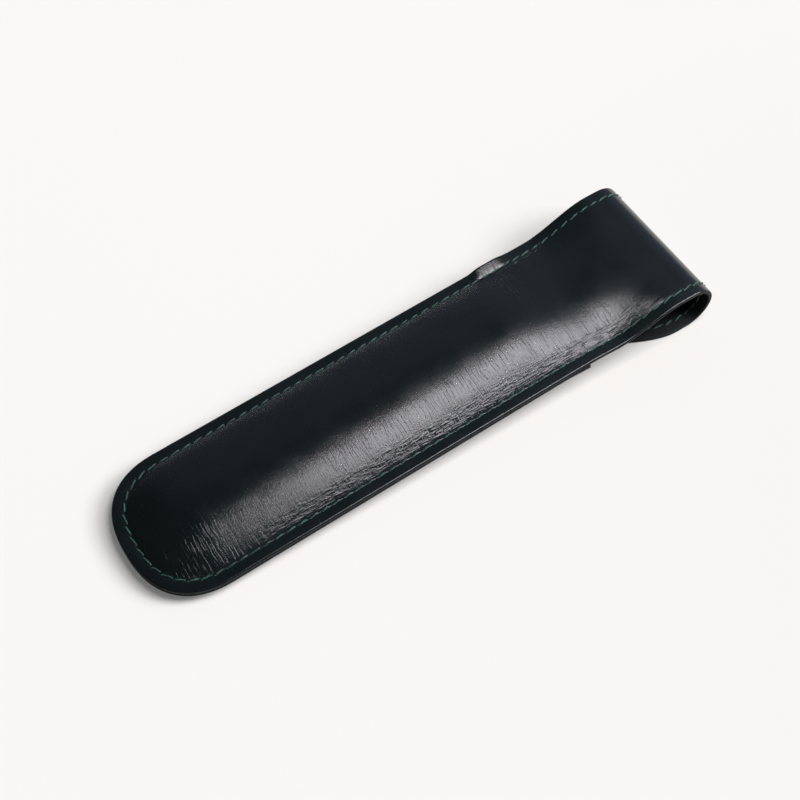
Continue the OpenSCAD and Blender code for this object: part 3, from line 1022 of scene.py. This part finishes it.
# Thread: waxed green thread, sewn by hand right through the leather. Each stitch is a short
# length of two twisted strands that lies in the groove and goes down a hole at each end.
THREAD_T = 0.00050
STITCH_SIZES = {"Length": 0.0027, "Thickness": THREAD_T, "Sink": 0.00020, "Rise": 0.00016,
                "Slant": math.radians(10), "Slant spread": math.radians(5), "Length spread": 0.12,
                "Lobe": 0.20, "Twists": 2.2}
ARCH_STEPS = 12
STRAND_SIDES = 8
SEAT_DEPTH = GROOVE_DEPTH / 2
FACING_STEP = 0.0002
THREAD_COLOURS = ((0.002, 0.020, 0.012, 1), (0.007, 0.085, 0.052, 1))
THREAD_WORN = (0.38, 0.62)
THREAD_ROUGHNESS = 0.55
THREAD_SHEEN = 0.1
THREAD_PATCHES = 900
FIBRE_SCALE = 6000
FIBRE_DEPTH = 0.00003
SEAM_SEED, ROLL_SEED, TONGUE_SEED = 3, 10, 31


def thread_material():
    """Green thread, worn paler in patches, with the fine ridges of its fibres."""
    material, tree, shader = new_material("waxed_thread", {"Roughness": THREAD_ROUGHNESS,
                                                           "Sheen Weight": THREAD_SHEEN})
    place = new_node(tree, "ShaderNodeTexCoord").outputs["Object"]
    worn = ramp(tree, noise_node(tree, place, THREAD_PATCHES), *THREAD_WORN)
    feed(tree, shader.inputs["Base Color"], mix_colours(tree, worn, *THREAD_COLOURS))
    raise_bumps(tree, shader, times(tree, noise_node(tree, place, FIBRE_SCALE), FIBRE_DEPTH))
    return material


THREAD = thread_material()


def stitch_tree():
    """Lays one twisted stitch on each point, along its "along" and facing its "out"."""
    tree, given = new_group(
        "GeometryNodeTree", "Hand stitches",
        {"Places": "Geometry", **dict.fromkeys(STITCH_SIZES, "Float"), "Seed": "Int",
         "Thread": "Material"},
        {"Stitches": "Geometry"})

    def make(kind, inputs=None, **settings):
        """The first output of a new node."""
        return new_node(tree, kind, inputs, **settings).outputs[0]

    def vector(x=0.0, y=0.0, z=0.0):
        return make("ShaderNodeCombineXYZ", {"X": x, "Y": y, "Z": z})

    def read_vector(name):
        return make("GeometryNodeInputNamedAttribute", {"Name": name}, data_type="FLOAT_VECTOR")

    def spread(amount, middle, seed_step):
        """A random value within an amount of a middle."""
        inputs = {2: calc(tree, "SUBTRACT", middle, amount), 3: calc(tree, "ADD", middle, amount),
                  "Seed": calc(tree, "ADD", given["Seed"], seed_step)}
        return new_node(tree, "FunctionNodeRandomValue", inputs, data_type="FLOAT").outputs[1]

    # The arch of a stitch from hole to hole, which turns as it goes
    half, sunk = times(tree, given["Length"], 0.5), times(tree, given["Sink"], -1.0)
    top = vector(z=times(tree, given["Rise"], 2.0))
    arch = make("GeometryNodeCurveQuadraticBezier",
                {"Resolution": ARCH_STEPS, "Start": vector(x=times(tree, half, -1.0), z=sunk),
                 "Middle": top, "End": vector(x=half, z=sunk)})
    part = new_node(tree, "GeometryNodeSplineParameter").outputs["Factor"]
    turns = times(tree, given["Twists"], 2 * math.pi, part)
    twisted = make("GeometryNodeSetCurveTilt", {"Curve": arch, "Tilt": turns})
    # The outline of two strands side by side
    radius = times(tree, given["Thickness"], 0.5)
    circle = make("GeometryNodeCurvePrimitiveCircle",
                  {"Resolution": STRAND_SIDES, "Radius": radius})
    spot = make("GeometryNodeInputPosition")
    split = new_node(tree, "ShaderNodeSeparateXYZ", {0: spot}).outputs
    x2, y2 = (times(tree, split[axis], split[axis]) for axis in "XY")
    lobes = calc(tree, "DIVIDE", calc(tree, "SUBTRACT", x2, y2), times(tree, radius, radius))
    swell = calc(tree, "ADD", times(tree, lobes, given["Lobe"]), 1.0)
    lobed = make("ShaderNodeVectorMath", {0: spot, "Scale": swell}, operation="SCALE")
    strands = make("GeometryNodeSetPosition", {"Geometry": circle, "Position": lobed})
    skin = make("GeometryNodeCurveToMesh", {"Curve": twisted, "Profile Curve": strands,
                                            "Fill Caps": True})
    stitch = make("GeometryNodeSetShadeSmooth", {"Geometry": skin})
    # Each stitch lies along the seam, a little slanted, and is a little longer or shorter
    facing = make("FunctionNodeAxesToRotation", {0: read_vector("out"), 1: read_vector("along")},
                  primary_axis="Z", secondary_axis="X")
    slant = make("FunctionNodeEulerToRotation",
                 {0: vector(z=spread(given["Slant spread"], given["Slant"], 1))})
    slanted = make("FunctionNodeRotateRotation", {0: facing, 1: slant}, rotation_space="LOCAL")
    stretch = vector(x=spread(given["Length spread"], 1.0, 2), y=1.0, z=1.0)
    laid = make("GeometryNodeInstanceOnPoints", {"Points": given["Places"], "Instance": stitch,
                                                 "Rotation": slanted, "Scale": stretch})
    real = make("GeometryNodeRealizeInstances", {0: laid})
    dyed = make("GeometryNodeSetMaterial", {"Geometry": real, "Material": given["Thread"]})
    new_node(tree, "NodeGroupOutput", {0: dyed})
    return tree


STITCHES = stitch_tree()


def sew(name, stitches, seed, body, node):
    """A row of stitches, each given by its middle, direction and facing."""
    middles, along, out = (np.array(part, dtype=np.float32) for part in zip(*stitches))
    mesh = bpy.data.meshes.new(name + "_places")
    mesh.from_pydata(middles.tolist(), [], [])
    for label, values in (("along", along), ("out", out)):
        layer = mesh.attributes.new(label, "FLOAT_VECTOR", "POINT")
        layer.data.foreach_set("vector", values.ravel())
    places = add_object(name + "_places", mesh)
    modifier = places.modifiers.new("Stitches", "NODES")
    modifier.node_group = STITCHES
    inputs = {**STITCH_SIZES, "Seed": seed, "Thread": THREAD}
    for socket in STITCHES.interface.items_tree:
        if socket.in_out == "INPUT" and socket.name in inputs:
            modifier[socket.identifier] = inputs[socket.name]
    finished = places.evaluated_get(bpy.context.evaluated_depsgraph_get())
    thread = add_object(name, bpy.data.meshes.new_from_object(finished))
    bpy.data.objects.remove(places)
    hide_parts(node)
    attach(thread, body)


def stitches_on(holes, place, out_sign):
    """Stitches from hole to hole on a face that looks up (1) or down (-1)."""
    stitches = []
    x, y = holes[:, 0], holes[:, 1]
    reach = np.full(len(x), STITCH_MARGIN)
    points = np.stack(place(x, y, reach), 1)
    dx = np.stack(place(x + FACING_STEP, y, reach), 1) - points
    dy = np.stack(place(x, y + FACING_STEP, reach), 1) - points
    for k in range(len(holes) - 1):
        out = np.cross(dx[k] + dx[k + 1], dy[k] + dy[k + 1])
        out *= out_sign * np.sign(out[2]) / np.linalg.norm(out)
        along = points[k + 1] - points[k]
        stitches.append(((points[k] + points[k + 1]) / 2, along / np.linalg.norm(along), out))
    return stitches


def seat(x, y, reach):
    """Where a stitch is seated on the plain face of the back."""
    share = curl(x, y, reach)
    return x, y + CURL_OUT * share, back_height(x, y) - SEAT_DEPTH + CURL_UP * share


def seat_below(x, y, reach):
    """The face under a seam stitch: the front's outer one, or the neck's underside."""
    low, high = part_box("keeper_band")
    on_band = (x > low.x) & (x < high.x)
    under_front = front_height(x, y) - np.where(on_band, KEEPER_T, 0)
    return x, y, np.where(x < MOUTH_X, under_front, back_height(x, y) - WALL_T)


def seam_stitches():
    above = stitches_on(BACK_HOLES, seat, 1)
    below = stitches_on(BACK_HOLES, seat_below, -1)
    # Underneath, no stitch spans the step from the front to the neck
    side = BACK_HOLES[:, 0] < MOUTH_X
    return above + [stitch for k, stitch in enumerate(below) if side[k] == side[k + 1]]


sew("seam_stitches", seam_stitches(), SEAM_SEED, "pouch", "seam_thread")


def leaf_stitches(k):
    """The four stitches at one part of the roll: one on each face near each edge."""
    turn = LEAF_TURN * k
    along = np.array([math.cos(turn), 0, -math.sin(turn)])
    out = np.array([math.sin(turn), 0, math.cos(turn)])
    centre = np.array([ROLL_X, 0, ROLL_R])
    stitches = []
    for side in (-1, 1):
        middle = centre + np.array([0, side * (HALF_FLAP - STITCH_MARGIN), 0])
        stitches.append((middle + out * (ROLL_R - SEAT_DEPTH), along, out))
        stitches.append((middle + out * (ROLL_R - WALL_T), along, -out))
    return stitches


for k in range(1, HINGES):
    sew(f"roll_stitches_{k}", leaf_stitches(k), ROLL_SEED + k, f"roll_{k}", f"roll_thread_{k}")


def tongue_seat(height):
    def place(x, y, reach):
        return x, y, np.full(x.shape, height)
    return place


sew("tongue_stitches", stitches_on(TONGUE_HOLES, tongue_seat(PRESSED_SEAT), -1)
    + stitches_on(TONGUE_HOLES, tongue_seat(WALL_T), 1), TONGUE_SEED, "tongue", "tongue_thread")
